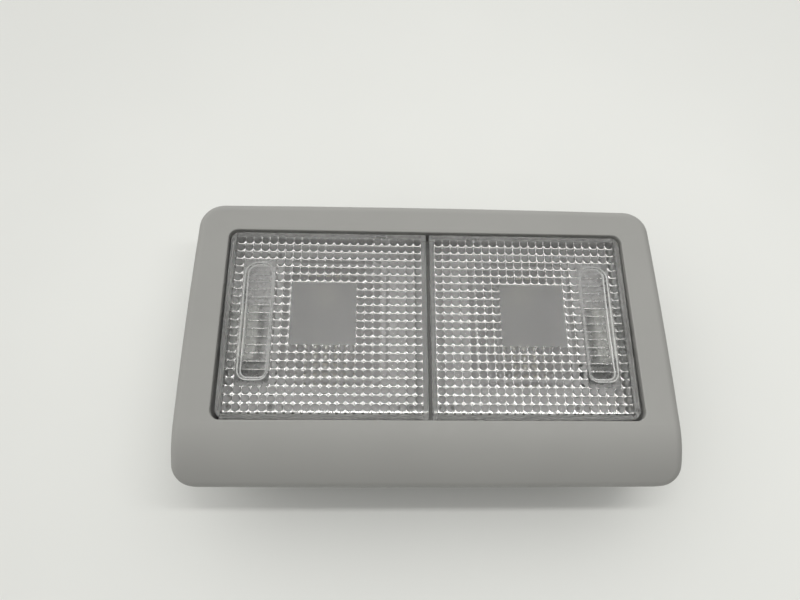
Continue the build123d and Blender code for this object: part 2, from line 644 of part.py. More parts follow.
# ------------------------------------------------------------------ switches
with BuildPart() as right_switch_body:
    with BuildSketch(Plane.XY.offset(sw_z0)):
        with Locations((sw_x, sw_y)):
            Rectangle(sw_w, sw_l)
    extrude(amount=sw_z1 - sw_z0)
    fillet(edges().filter_by(Axis.Z), 0.8)
    # fixing flanges front and rear
    with BuildSketch(Plane.XY.offset(sw_z0)):
        with Locations((sw_x, sw_y)):
            Rectangle(6.0, sw_l + 8.0)
    extrude(amount=1.5)
    # chamber
    with BuildSketch(Plane.XY.offset(sw_z0 + sw_wall)):
        with Locations((sw_x, sw_y)):
            Rectangle(sw_w - 2 * sw_wall, sw_l - 2 * sw_wall)
    extrude(amount=sw_z1 - sw_z0 - sw_wall - 1.6, mode=Mode.SUBTRACT)
    # guide hole for the plunger stem
    with BuildSketch(Plane.XY.offset(sw_z1 + 1)):
        with Locations((sw_x, sw_y)):
            Rectangle(stem_w + 2 * guide_gap, stem_l + 2 * guide_gap)
    extrude(amount=-4, mode=Mode.SUBTRACT)
    # spigot inside the spring
    with BuildSketch(Plane.XY.offset(sw_z0 + sw_wall)):
        with Locations((sw_x, sw_y)):
            Circle(spigot_r)
    extrude(amount=2.0)
    # slots for the contact blades, stake holes
    with BuildSketch(Plane.XY.offset(sw_z0 - 1)):
        with Locations((blade_xs[0], blade_y), (blade_xs[1], blade_y)):
            Rectangle(blade_w + 0.4, strip_t + 0.4)
        with Locations((sw_x, sw_y - sw_l / 2 - 2), (sw_x, sw_y + sw_l / 2 + 2)):
            Circle(1.1)
    extrude(amount=2.6, mode=Mode.SUBTRACT)
    # legs at the corners
    with BuildSketch(Plane.XY.offset(tub_floor)):
        with Locations((sw_x, sw_y)):
            with GridLocations(sw_w - 2.4, sw_l - 2.4, 2, 2):
                Rectangle(1.6, 1.6)
    extrude(amount=sw_z0 - tub_floor)
right_switch_body.part.label = "right_switch_body"
export_step(right_switch_body.part, "parts/right_switch_body.step")

with BuildPart() as left_switch_body:
    mirror(right_switch_body.part, about=Plane.YZ)
left_switch_body.part.label = "left_switch_body"
export_step(left_switch_body.part, "parts/left_switch_body.step")

with BuildPart() as right_plunger:
    # head under the lens foot
    with BuildSketch(Plane.XY.offset(head_z0)):
        with Locations(((head_x0 + head_x1) / 2, (head_y0 + head_y1) / 2)):
            RectangleRounded(head_x1 - head_x0, head_y1 - head_y0, 1.5)
    extrude(amount=head_z1 - head_z0)
    fillet(faces().sort_by(Axis.Z)[-1].edges(), 0.5)
    # stem
    with BuildSketch(Plane.XY.offset(flange_z1)):
        with Locations((sw_x, sw_y)):
            Rectangle(stem_w, stem_l)
    extrude(amount=head_z0 - flange_z1)
    # retaining flange inside the switch
    with BuildSketch(Plane.XY.offset(flange_z0)):
        with Locations((sw_x, sw_y)):
            Rectangle(flange_w, flange_l)
    extrude(amount=flange_z1 - flange_z0)
    # spigot inside the spring, and a stake for the contact bridge
    with BuildSketch(Plane.XY.offset(flange_z0)):
        with Locations((sw_x, sw_y)):
            Circle(spigot_r)
    extrude(amount=-2.0)
    with BuildSketch(Plane.XY.offset(flange_z0)):
        with Locations((sw_x, blade_y)):
            Circle(0.5)
    extrude(amount=-0.7)
right_plunger.part.label = "right_plunger"
export_step(right_plunger.part, "parts/right_plunger.step")

with BuildPart() as left_plunger:
    mirror(right_plunger.part, about=Plane.YZ)
left_plunger.part.label = "left_plunger"
export_step(left_plunger.part, "parts/left_plunger.step")

with BuildPart() as right_contact_bridge:
    with BuildSketch(Plane.XY.offset(flange_z0)):
        with Locations((sw_x, blade_y)):
            Rectangle(6.4, 1.8)
            Circle(0.55, mode=Mode.SUBTRACT)
    extrude(amount=-0.4)
right_contact_bridge.part.label = "right_contact_bridge"
export_step(right_contact_bridge.part, "parts/right_contact_bridge.step")

with BuildPart() as left_contact_bridge:
    mirror(right_contact_bridge.part, about=Plane.YZ)
left_contact_bridge.part.label = "left_contact_bridge"
export_step(left_contact_bridge.part, "parts/left_contact_bridge.step")

spring_z0 = sw_z0 + sw_wall + wire_r + 0.06
spring_z1 = flange_z0 - wire_r - 0.06
with BuildPart() as right_plunger_spring:
    with BuildLine():
        coil = Helix(
            pitch=(spring_z1 - spring_z0) / spring_turns,
            height=spring_z1 - spring_z0,
            radius=spring_r,
            center=(sw_x, sw_y, spring_z0),
        )
    with BuildSketch(Plane(origin=coil @ 0, z_dir=coil % 0)):
        Circle(wire_r)
    sweep(path=coil, is_frenet=True)
right_plunger_spring.part.label = "right_plunger_spring"
export_step(right_plunger_spring.part, "parts/right_plunger_spring.step")

with BuildPart() as left_plunger_spring:
    mirror(right_plunger_spring.part, about=Plane.YZ)
left_plunger_spring.part.label = "left_plunger_spring"
export_step(left_plunger_spring.part, "parts/left_plunger_spring.step")


# ------------------------------------------------------------------ mounting clips
# spring-steel leaf: flat base on the housing, folded at the foot and bowed outwards
with BuildPart() as right_mount_clip:
    with BuildSketch(Plane.XZ.offset(-mclip_y - mclip_w / 2)):
        with BuildLine():
            base = Line((tub_x, 23.5), (tub_x, 8.5))
            bend = TangentArc(base @ 1, (tub_x + 3.4, 8.5), tangent=base % 1)
            leaf = Line(bend @ 1, (tub_x + 4.9, 19.5))
            knee = Line(leaf @ 1, (tub_x + 3.2, 24.6))
            offset(amount=mclip_t, side=Side.RIGHT, closed=True)
        make_face()
    extrude(amount=mclip_w)
    with BuildSketch(Plane.YZ.offset(tub_x - 1)):
        with Locations((mclip_y, 13), (mclip_y, 19)):
            Circle(1.45)
    extrude(amount=1 + mclip_t + 0.2, mode=Mode.SUBTRACT)
right_mount_clip.part.label = "right_mount_clip"
export_step(right_mount_clip.part, "parts/right_mount_clip.step")

with BuildPart() as left_mount_clip:
    mirror(right_mount_clip.part, about=Plane.YZ)
left_mount_clip.part.label = "left_mount_clip"
export_step(left_mount_clip.part, "parts/left_mount_clip.step")
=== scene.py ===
import math

import bmesh
import bpy
import numpy as np
from mathutils import Matrix, Vector


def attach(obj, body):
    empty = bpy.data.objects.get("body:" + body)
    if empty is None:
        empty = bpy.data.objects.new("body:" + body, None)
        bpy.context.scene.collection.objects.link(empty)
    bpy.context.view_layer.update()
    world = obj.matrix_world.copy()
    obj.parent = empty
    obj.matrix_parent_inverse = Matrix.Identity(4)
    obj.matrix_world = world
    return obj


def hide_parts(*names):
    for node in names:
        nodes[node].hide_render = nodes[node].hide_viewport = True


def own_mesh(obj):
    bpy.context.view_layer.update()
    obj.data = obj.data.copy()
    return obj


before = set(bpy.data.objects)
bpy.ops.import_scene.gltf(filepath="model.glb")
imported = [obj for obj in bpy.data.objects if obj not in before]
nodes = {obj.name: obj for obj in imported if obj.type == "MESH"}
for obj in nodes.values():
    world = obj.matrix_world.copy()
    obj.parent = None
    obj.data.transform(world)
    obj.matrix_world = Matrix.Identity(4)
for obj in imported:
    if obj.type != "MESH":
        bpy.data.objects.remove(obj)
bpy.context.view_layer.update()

scene = bpy.context.scene
MM = 0.001


# ------------------------------------------------------------------ camera
def place_camera():
    right = Vector((0.999004, -0.002882, 0.044518))
    down = Vector((0.012267, -0.941692, -0.336254))
    ahead = Vector((0.042891, 0.336465, -0.940719))
    data = bpy.data.cameras.new("camera")
    data.sensor_fit = "HORIZONTAL"
    data.sensor_width = 36.0
    data.lens = 27.45
    data.clip_start, data.clip_end = 0.01, 20.0
    cam = bpy.data.objects.new("camera", data)
    turn = Matrix((right, -down, -ahead)).transposed().to_4x4()
    cam.matrix_world = Matrix.Translation((-0.01748, -0.05424, 0.219616)) @ turn
    scene.collection.objects.link(cam)
    scene.camera = cam


place_camera()


# ------------------------------------------------------------------ node materials
class Mat:
    """A Principled material with a few shorthands for its nodes. Patterns are in object space, in metres."""

    def __init__(self, name):
        self.m = bpy.data.materials.new(name)
        self.m.use_nodes = True
        self.t = self.m.node_tree
        self.b = self.t.nodes["Principled BSDF"]
        self.co = self.t.nodes.new("ShaderNodeTexCoord").outputs["Object"]

    def set(self, **values):
        for k, v in values.items():
            self.b.inputs[k.replace("_", " ")].default_value = v
        return self

    def link(self, a, b):
        self.t.links.new(a, b)

    def noise(self, scale, detail=3.0, rough=0.55, stretch=None, distortion=0.0):
        n = self.t.nodes.new("ShaderNodeTexNoise")
        n.inputs["Scale"].default_value = scale
        n.inputs["Detail"].default_value = detail
        n.inputs["Roughness"].default_value = rough
        n.inputs["Distortion"].default_value = distortion
        vec = self.co
        if stretch:
            mp = self.t.nodes.new("ShaderNodeMapping")
            mp.inputs["Scale"].default_value = stretch
            self.link(self.co, mp.inputs["Vector"])
            vec = mp.outputs["Vector"]
        self.link(vec, n.inputs["Vector"])
        return n.outputs["Fac"]

    def span(self, fac, lo, hi, a=0.3, b=0.7):
        n = self.t.nodes.new("ShaderNodeMapRange")
        n.inputs["From Min"].default_value = a
        n.inputs["From Max"].default_value = b
        n.inputs["To Min"].default_value = lo
        n.inputs["To Max"].default_value = hi
        self.link(fac, n.inputs["Value"])
        return n.outputs["Result"]

    def ramp(self, fac, stops):
        n = self.t.nodes.new("ShaderNodeValToRGB")
        r = n.color_ramp
        while len(r.elements) < len(stops):
            r.elements.new(0.5)
        for e, (p, c) in zip(r.elements, stops):
            e.position = p
            e.color = (*c, 1.0)
        self.link(fac, n.inputs["Fac"])
        return n.outputs["Color"]

    def math(self, op, a, b):
        n = self.t.nodes.new("ShaderNodeMath")
        n.operation = op
        for i, v in enumerate((a, b)):
            if isinstance(v, (int, float)):
                n.inputs[i].default_value = v
            else:
                self.link(v, n.inputs[i])
        return n.outputs[0]

    def mix(self, fac, a, b):
        n = self.t.nodes.new("ShaderNodeMix")
        n.data_type = "RGBA"
        self.link(fac, n.inputs["Factor"])
        for sock, v in ((n.inputs["A"], a), (n.inputs["B"], b)):
            if isinstance(v, tuple):
                sock.default_value = (*v, 1.0)
            else:
                self.link(v, sock)
        return n.outputs["Result"]

    def bump(self, height, strength, distance, after=None):
        n = self.t.nodes.new("ShaderNodeBump")
        n.inputs["Strength"].default_value = strength
        n.inputs["Distance"].default_value = distance
        self.link(height, n.inputs["Height"])
        if after is not None:
            self.link(after, n.inputs["Normal"])
        return n.outputs["Normal"]

    def color(self, out):
        self.link(out, self.b.inputs["Base Color"])
        return self

    def rough(self, out):
        self.link(out, self.b.inputs["Roughness"])
        return self

    def normal(self, out):
        self.link(out, self.b.inputs["Normal"])
        return self


def tint(c, k):
    return tuple(min(1.0, v * k) for v in c)


def plastic(name, colour, rough, vary=0.05, grain=2600.0, bump=0.25, spec=0.5, blotch=70.0):
    """Moulded plastic: slow colour drift, fine grain, uneven gloss."""
    m = Mat(name).set(Specular_IOR_Level=spec)
    slow = m.noise(blotch, 4.0)
    m.color(m.ramp(slow, [(0.3, tint(colour, 1 - vary)), (0.7, tint(colour, 1 + vary))]))
    m.rough(m.span(m.noise(240.0, 3.0), rough - 0.06, rough + 0.06))
    m.normal(m.bump(m.noise(grain, 2.0), bump, 0.00002))
    return m


def metal(name, colour, rough, vary=0.05, brushed=(1.0, 1.0, 0.06)):
    """Stamped or drawn metal: slow tarnish, fine drawing lines."""
    m = Mat(name).set(Metallic=1.0)
    slow = m.noise(110.0, 4.0, 0.5)
    m.color(m.ramp(slow, [(0.3, tint(colour, 1 - vary)), (0.72, tint(colour, 1 + vary * 0.5))]))
    lines = m.noise(2600.0, 3.0, 0.6, stretch=brushed)
    m.rough(m.span(lines, rough - 0.05, rough + 0.07))
    m.normal(m.bump(lines, 0.1, 0.00001))
    return m


def bezel_material():
    grey = (0.305, 0.302, 0.2925)
    m = Mat("bezel_grey").set(Specular_IOR_Level=0.35)
    slow = m.noise(28.0, 4.0, 0.55)
    cloudy = m.ramp(slow, [(0.3, tint(grey, 0.975)), (0.7, tint(grey, 1.025))])
    # handling marks: faint, long and thin
    marks = m.noise(55.0, 6.0, 0.65, stretch=(0.35, 1.6, 1.0))
    marked = m.mix(m.span(marks, 0.0, 0.55, 0.62, 0.8), cloudy, tint(grey, 0.9))
    m.color(marked)
    m.rough(m.span(m.noise(320.0, 3.0), 0.46, 0.58))
    grain = m.bump(m.noise(3200.0, 2.0, 0.6), 0.22, 0.000025)
    m.normal(m.bump(m.noise(90.0, 2.0), 0.06, 0.00012, after=grain))
    return m


def lens_material():
    m = Mat("lens_clear").set(IOR=1.49, Transmission_Weight=1.0, Specular_IOR_Level=0.5)
    m.color(m.ramp(m.noise(40.0, 3.0), [(0.3, (0.885, 0.886, 0.88)), (0.7, (0.915, 0.915, 0.91))]))
    m.rough(m.span(m.noise(420.0, 5.0, 0.6), 0.02, 0.055, 0.45, 0.75))
    m.normal(m.bump(m.noise(160.0, 2.0), 0.04, 0.0001))
    return m


def soft_material(name, through, lo, hi):
    """Clear plastic with a fine sandblasted finish."""
    m = Mat(name).set(IOR=1.49, Transmission_Weight=through)
    m.color(m.ramp(m.noise(60.0, 3.0), [(0.3, (0.885, 0.886, 0.88)), (0.7, (0.915, 0.915, 0.91))]))
    m.rough(m.span(m.noise(700.0, 3.0), lo, hi))
    m.normal(m.bump(m.noise(4200.0, 2.0, 0.6), 0.3, 0.00003))
    return m


def frosted_material(name, through, rough, shade=1.0):
    """Etched clear plastic that scatters part of the light back."""
    m = Mat(name).set(IOR=1.49, Transmission_Weight=through)
    m.color(m.ramp(m.noise(60.0, 3.0), [(0.3, tint((0.93, 0.93, 0.925), shade)), (0.7, tint((0.97, 0.97, 0.965), shade))]))
    m.rough(m.span(m.noise(900.0, 3.0), rough - 0.08, rough + 0.08))
    m.normal(m.bump(m.noise(5200.0, 2.0, 0.6), 0.7, 0.00006))
    return m


def bulb_material():
    m = Mat("bulb_glass").set(IOR=1.5, Transmission_Weight=1.0)
    m.color(m.ramp(m.noise(120.0, 3.0), [(0.3, (0.97, 0.97, 0.965)), (0.7, (1.0, 1.0, 1.0))]))
    m.rough(m.span(m.noise(500.0, 4.0), 0.0, 0.03, 0.45, 0.8))
    return m


MATS = {
    "bezel_grey": bezel_material(),
    "lens_clear": lens_material(),
    "lens_frosted": frosted_material("lens_frosted", 0.84, 0.75),
    "lens_rim": frosted_material("lens_rim", 0.1, 0.6, 0.9),
    "lens_soft": soft_material("lens_soft", 0.92, 0.24, 0.32),
    "lens_pillow": soft_material("lens_pillow", 1.0, 0.09, 0.13),
    "lens_bead": frosted_material("lens_bead", 0.42, 0.35, 0.98),
    "case_grey": plastic("case_grey", (0.27, 0.268, 0.262), 0.5, vary=0.035),
    "reflector_white": plastic("reflector_white", (0.615, 0.606, 0.62), 0.4, vary=0.03, bump=0.12),
    "bulb_glass": bulb_material(),
    "bulb_metal": metal("bulb_metal", (0.72, 0.71, 0.68), 0.28, brushed=(1.0, 0.06, 1.0)),
    "contact_brass": metal("contact_brass", (0.68, 0.645, 0.57), 0.34, brushed=(0.08, 1.0, 1.0)),
    "switch_grey": plastic("switch_grey", (0.34, 0.34, 0.335), 0.45, vary=0.06),
    "socket_dark": plastic("socket_dark", (0.035, 0.035, 0.037), 0.5, vary=0.12),
    "plunger_white": plastic("plunger_white", (0.55, 0.55, 0.54), 0.38, vary=0.03, bump=0.15),
    "spring_steel": metal("spring_steel", (0.58, 0.57, 0.56), 0.3),
    "zinc_steel": metal("zinc_steel", (0.62, 0.63, 0.64), 0.36, brushed=(1.0, 1.0, 1.0)),
}


def finish_piece(obj, *names):
    obj.data.materials.clear()
    for n in names:
        obj.data.materials.append(MATS[n].m)


# ------------------------------------------------------------------ mesh helpers
def new_piece(name, verts, faces, smooth=True, mats=None):
    """verts in millimetres, in the row frame."""
    me = bpy.data.meshes.new(name)
    me.from_pydata([(x * MM, y * MM, z * MM) for x, y, z in verts], [], faces)
    if mats is not None:
        me.polygons.foreach_set("material_index", np.asarray(mats, np.int32))
    me.polygons.foreach_set("use_smooth", np.full(len(me.polygons), smooth))
    me.update()
    obj = bpy.data.objects.new(name, me)
    scene.collection.objects.link(obj)
    return obj


def tube(points, radius, sides=10, caps=True):
    """Verts and faces of a round wire along points (n x 3)."""
    p = np.asarray(points, float)
    t = np.gradient(p, axis=0)
    t /= np.linalg.norm(t, axis=1)[:, None]
    up = np.array([0.0, 0.0, 1.0])
    if abs(t[0] @ up) > 0.9:
        up = np.array([1.0, 0.0, 0.0])
    u = np.cross(t[0], up)
    u /= np.linalg.norm(u)
    verts, faces = [], []
    for i in range(len(p)):
        u = u - (u @ t[i]) * t[i]
        u /= np.linalg.norm(u)
        w = np.cross(t[i], u)
        for k in range(sides):
            a = 2 * math.pi * k / sides
            verts.append(p[i] + radius * (math.cos(a) * u + math.sin(a) * w))
    for i in range(len(p) - 1):
        for k in range(sides):
            a, b = i * sides + k, i * sides + (k + 1) % sides
            faces.append((a, b, b + sides, a + sides))
    if caps:
        faces.append(tuple(range(sides))[::-1])
        faces.append(tuple((len(p) - 1) * sides + k for k in range(sides)))
    return verts, faces


def joined(*parts):
    verts, faces = [], []
    for v, f in parts:
        o = len(verts)
        verts += [tuple(q) for q in v]
        faces += [tuple(i + o for i in q) for q in f]
    return verts, faces


def mirror_x(verts, faces):
    return [(-x, y, z) for x, y, z in verts], [tuple(reversed(f)) for f in faces]


# ------------------------------------------------------------------ lenses
CELL, ROW_Y = 2.6, 6.65
LENS_X0, LENS_X1, LENS_Y0, LENS_Y1 = 0.5, 64.2, -26.5, 34.15
LENS_TOP, LENS_BOTTOM = 37.2, 29.0
FRONT_R, REAR_R, MID_R, SIDE_R = 1.8, 0.6, 0.4, 0.6  # rolled edges; the third is next to the other lens
SKIRT, SKIRT_REAR = 1.6, 1.45
PILLOW_RX, PILLOW_RY, PILLOW_R, PILLOW_MIX, PILLOW_TIP = 1.95, 1.86, 1.9, 0.6, 35.2  # curved across, along, all round; share of the last; lowest point
CELLS_X0, CELLS_NX = 2.158, 23
CELLS_Y0, CELLS_NY = -24.55, 22
SUB = 12
FLAT_Z = 35.7
PIVOT_X, PIVOT_Z, PIN_R = 15.4, 32.0, 1.5
PATCH = (13.2, 17.6)
FOOT_X0, FOOT_X1, FOOT_Y0, FOOT_Y1, FOOT_TIP = 57.0, 59.0, -7.0, 10.0, 33.1


def lens_outline(part, inset=0.0):
    """Plan outline of a lens, anticlockwise, always with the same number of points, as (x, y, edge rounding there).
    Each side is moved in by part times its own rounding, and by inset."""
    pts = []
    f, b, m, o = (part * r + inset for r in (FRONT_R, REAR_R, MID_R, SIDE_R))
    x0 = LENS_X0 + m

    def inner(y, sign, d, r, a0):
        rad = max(0.5 - d, 0.02)
        for i in range(5):
            a = math.radians(a0 + 22.5 * i)
            pts.append((x0 + rad + rad * math.cos(a), y + sign * rad + rad * math.sin(a), r))

    def outer(cy, r0, r1, a0):
        for i in range(11):
            a = math.radians(a0 + 9.0 * i)
            t = i / 10
            r = r0 + (r1 - r0) * t * t * (3 - 2 * t)
            rad = 2.8 - part * r - inset
            pts.append((LENS_X1 - 2.8 + rad * math.cos(a), cy + rad * math.sin(a), r))

    inner(LENS_Y0 + f, 1, f, FRONT_R, 180)
    pts.extend((x, LENS_Y0 + f, FRONT_R) for x in PATCH)
    outer(LENS_Y0 + 2.8, FRONT_R, SIDE_R, 270)
    outer(LENS_Y1 - 2.8, SIDE_R, REAR_R, 0)
    pts.extend((x, LENS_Y1 - b, REAR_R) for x in reversed(PATCH))
    inner(LENS_Y1 - b, -1, b, REAR_R, 90)
    pts.extend(((x0, LENS_Y1 - 1.6, MID_R), (x0, LENS_Y0 + 3.0, MID_R)))
    return pts


FRONT_PATCH = 5  # index of the outline point at PATCH[0] on the front edge
REAR_PATCH = 5 + 2 + 11 + 11  # and at PATCH[1] on the rear edge


def is_pillow(i, j):
    """Whether cell column i (from the middle of the lamp outwards), row j (from the front) is a pillow."""
    if not (0 <= i < CELLS_NX and 0 <= j < CELLS_NY):
        return False
    if 8 <= i < 16 and 8 <= j < 16:  # plain window
        return False
    if 18 <= i < 22 and 3 <= j < 19:  # under the finger recess
        return False
    return True


def pillow_z(u, v):
    barrel = PILLOW_RX - math.sqrt(PILLOW_RX**2 - u * u) + PILLOW_RY - math.sqrt(PILLOW_RY**2 - v * v)
    ball = PILLOW_R - math.sqrt(PILLOW_R**2 - u * u - v * v)
    return PILLOW_TIP + barrel + PILLOW_MIX * (ball - barrel)


def flute_z(y):
    """Underside below the finger recess: flutes across, one to a cell row, flatter towards the rear."""
    t = (y - PAD_MID) / ((PAD_Y1 - PAD_Y0) / 2)
    r = 2.15 + 0.55 * max(0.0, t + 0.1) ** 2
    v = (y - CELLS_Y0) % CELL - CELL / 2
    return FLAT_Z - (math.sqrt(r * r - v * v) - math.sqrt(r * r - (CELL / 2) ** 2))


PAD_X0, PAD_X1, PAD_Y0, PAD_Y1 = 50.1, 57.45, -14.1, 22.4
PAD_CF, PAD_CB = 2.0, 3.1  # corners at the front, rear
PAD_GROW = (0.8, 1.25, 1.1, 1.0)  # how far the rounded border reaches out: inner, outer, front, rear
PAD_MID = (PAD_Y0 + PAD_Y1) / 2
PAD_END, PAD_DEEP = 0.4, 1.0
RIB_H, RIB_W = 0.1, 0.3
RIBS = [ROW_Y + k * CELL for k in range(-7, 6)]


def pad_floor(y):
    """Depth of the recess floor below the lens face."""
    t = (y - PAD_MID) / ((PAD_Y1 - PAD_Y0) / 2)
    depth = PAD_DEEP - (PAD_DEEP - PAD_END) * t * t
    for r in RIBS:
        q = abs(y - r) / RIB_W
        if q < 1:
            depth -= RIB_H * math.sqrt(1 - q * q)
    return depth


def lens_piece(name, s):
    bm = bmesh.new()

    def add(x, y, z):
        return bm.verts.new((s * x * MM, y * MM, z * MM))

    def face(vs, mat=0, smooth=True):
        f = bm.faces.new(vs if s > 0 else list(reversed(vs)))
        f.material_index = mat
        f.smooth = smooth
        return f

    def ring(loop_a, loop_b, skip=(), mat=0):
        n = len(loop_a)
        for k in range(n):
            if k in skip:
                continue
            a, b = loop_a[k], loop_a[(k + 1) % n]
            face((a, b, loop_b[(k + 1) % n], loop_b[k]), mat)

    def loop_edges(loop):
        return [bm.edges.get((loop[k], loop[(k + 1) % len(loop)])) or bm.edges.new((loop[k], loop[(k + 1) % len(loop)])) for k in range(len(loop))]

    def fill(normal, *loops, smooth=True, mat=0):
        edges = [e for lp in loops for e in loop_edges(lp)]
        out = bmesh.ops.triangle_fill(bm, use_beauty=True, use_dissolve=False, edges=edges, normal=normal)
        for f in out["geom"]:
            if isinstance(f, bmesh.types.BMFace):
                f.smooth = smooth
                f.material_index = mat

    # outside: rim, wall, rolled edge, a flat margin on the face
    shoulder = LENS_TOP - FRONT_R - 0.1
    levels = [(0.25, LENS_BOTTOM), (0.07, LENS_BOTTOM + 0.07), (0.0, LENS_BOTTOM + 0.25), (0.0, shoulder)]
    loops = [[add(x, y, z) for x, y, r in lens_outline(0.0, d)] for d, z in levels]
    n_roll = 12
    for i in range(n_roll + 1):
        a = 0.5 * math.pi * i / n_roll
        loops.append([add(x, y, LENS_TOP - r * (1 - math.sin(a))) for x, y, r in lens_outline(1 - math.cos(a))])
    loops.append([add(x, y, LENS_TOP) for x, y, r in lens_outline(1.0, 0.06)])
    for k in range(len(loops) - 1):
        ring(loops[k], loops[k + 1], (FRONT_PATCH, REAR_PATCH) if k == 2 else (), 2 if k < 2 else 0)

    # finger recess: floor rows with ribs, rounded border rising to the face
    ys = {PAD_Y0, PAD_Y1}
    for r in RIBS:
        ys.update(r + q * RIB_W for q in (-1.3, -1.0, -0.85, -0.6, -0.3, 0.0, 0.3, 0.6, 0.85, 1.0, 1.3))
        ys.add(r + CELL / 2)
    for i in range(13):
        a = 0.5 * math.pi * i / 12
        ys.add(PAD_Y0 + PAD_CF * (1 - math.cos(a)))
        ys.add(PAD_Y1 - PAD_CB * (1 - math.cos(a)))
    ys = sorted(y for y in ys if PAD_Y0 <= y <= PAD_Y1)
    ys = [y for i, y in enumerate(ys) if i == 0 or y - ys[i - 1] > 0.02]
    if ys[-1] < PAD_Y1:
        ys[-1] = PAD_Y1
    n_col = 12

    def pad_half(y):
        c = PAD_CF if y < PAD_MID else PAD_CB
        e = max(PAD_Y0 + c - y, y - (PAD_Y1 - c), 0.0)
        return c - math.sqrt(max(c * c - e * e, 0.0))

    rows = []
    for y in ys:
        cut = pad_half(y)
        xa, xb = PAD_X0 + cut, PAD_X1 - cut
        rows.append([add(xa + (xb - xa) * c / n_col, y, LENS_TOP - pad_floor(y)) for c in range(n_col + 1)])
    for a, b in zip(rows, rows[1:]):
        for c in range(n_col):
            face((a[c], a[c + 1], b[c + 1], b[c]))
    edge = rows[0][:-1] + [r[-1] for r in rows[:-1]] + rows[-1][:0:-1] + [r[0] for r in rows[:0:-1]]

    def border_point(v, t):
        x, y = s * v.co.x / MM, v.co.y / MM
        c = PAD_CF if y < PAD_MID else PAD_CB
        cx = min(max(x, PAD_X0 + c), PAD_X1 - c)
        cy = min(max(y, PAD_Y0 + c), PAD_Y1 - c)
        nx, ny = x - cx, y - cy
        q = math.hypot(nx, ny) or 1.0
        nx, ny = nx / q, ny / q
        gx = PAD_GROW[1] if nx > 0 else PAD_GROW[0]
        gy = PAD_GROW[3] if ny > 0 else PAD_GROW[2]
        return x + nx * gx * t, y + ny * gy * t

    base_depth = {v: LENS_TOP - v.co.z / MM for v in edge}
    last, t_last = edge, 0.0
    bend = 0.16
    beads = ((0.13, 0.13, 0.07), (0.86, 0.13, 0.06))  # thin raised lines along the foot and the top of the slope
    steps = {0.3, 0.5, 0.7, 1.0}
    for at, half, high in beads:
        steps.update(round(at + half * q, 4) for q in (-0.97, -0.8, -0.5, 0.0, 0.5, 0.8, 0.97))
    for t in sorted(steps):
        e = min(t, 1 - t)
        rise = e * e / (2 * bend * (1 - bend)) if e < bend else (e - bend / 2) / (1 - bend)
        rise = rise if t < 0.5 else 1 - rise
        bead = sum(high * math.sqrt(1 - ((t - at) / half) ** 2) for at, half, high in beads if abs(t - at) < half)
        nxt = []
        for v in edge:
            x, y = border_point(v, t)
            nxt.append(add(x, y, LENS_TOP - base_depth[v] * (1 - rise) + bead))
        on_bead = any(at - half < (t + t_last) / 2 < at + half for at, half, high in beads)
        ring(last, nxt, mat=4 if on_bead else 0)
        last, t_last = nxt, t
    nxt = []
    for v in edge:
        x, y = border_point(v, 1.06)
        nxt.append(add(x, y, LENS_TOP))
    ring(last, nxt)
    fill((0, 0, 1), loops[-1], nxt)

    # underside: pillow optics, plain window, flat behind the recess, foot
    gx = [LENS_X0 + SKIRT] + [CELLS_X0 + CELL * k / SUB for k in range(CELLS_NX * SUB + 1)] + [LENS_X1 - SKIRT]
    gy = [LENS_Y0 + SKIRT] + [CELLS_Y0 + CELL * k / SUB for k in range(CELLS_NY * SUB + 1)] + [LENS_Y1 - SKIRT_REAR]
    fx0 = min(range(len(gx)), key=lambda k: abs(gx[k] - FOOT_X0))
    fx1 = min(range(len(gx)), key=lambda k: abs(gx[k] - FOOT_X1))
    fy0 = min(range(len(gy)), key=lambda k: abs(gy[k] - FOOT_Y0))
    fy1 = min(range(len(gy)), key=lambda k: abs(gy[k] - FOOT_Y1))

    def under_z(a, b):
        """Height of the underside at grid line a across, b along."""
        ka, kb = a - 1, b - 1
        cols = {ka // SUB, (ka - 1) // SUB} if ka % SUB == 0 else {ka // SUB}
        rws = {kb // SUB, (kb - 1) // SUB} if kb % SUB == 0 else {kb // SUB}
        if 50.0 < gx[a] < 57.7 and PAD_Y0 - 0.1 < gy[b] < PAD_Y1 + 0.1:
            return flute_z(gy[b])
        found = [(i, j) for i in cols for j in rws if is_pillow(i, j)]
        if not found or a in (0, len(gx) - 1) or b in (0, len(gy) - 1):
            return FLAT_Z
        i, j = found[0]
        u = gx[a] - (CELLS_X0 + CELL * (i + 0.5))
        v = gy[b] - (CELLS_Y0 + CELL * (j + 0.5))
        return pillow_z(u, v)

    grid = [[add(gx[a], gy[b], under_z(a, b)) for b in range(len(gy))] for a in range(len(gx))]
    for a in range(len(gx) - 1):
        for b in range(len(gy) - 1):
            if fx0 <= a < fx1 and fy0 <= b < fy1:
                continue
            i, j = (a - 1) // SUB, (b - 1) // SUB
            window = a >= 1 and b >= 1 and 8 <= i < 16 and 8 <= j < 16
            padded = 18 <= i < 22 and 3 <= j < 19 or i == 22 and 5 <= j < 16
            face((grid[a][b], grid[a][b + 1], grid[a + 1][b + 1], grid[a + 1][b]), 1 if window else 3 if padded else 5)
    # creases between neighbouring pillows
    for a in range(1, len(gx) - 1):
        for b in range(len(gy) - 1):
            if (a - 1) % SUB == 0:
                e = bm.edges.get((grid[a][b], grid[a][b + 1]))
                if e:
                    e.smooth = False
    for b in range(1, len(gy) - 1):
        for a in range(len(gx) - 1):
            if (b - 1) % SUB == 0:
                e = bm.edges.get((grid[a][b], grid[a + 1][b]))
                if e:
                    e.smooth = False
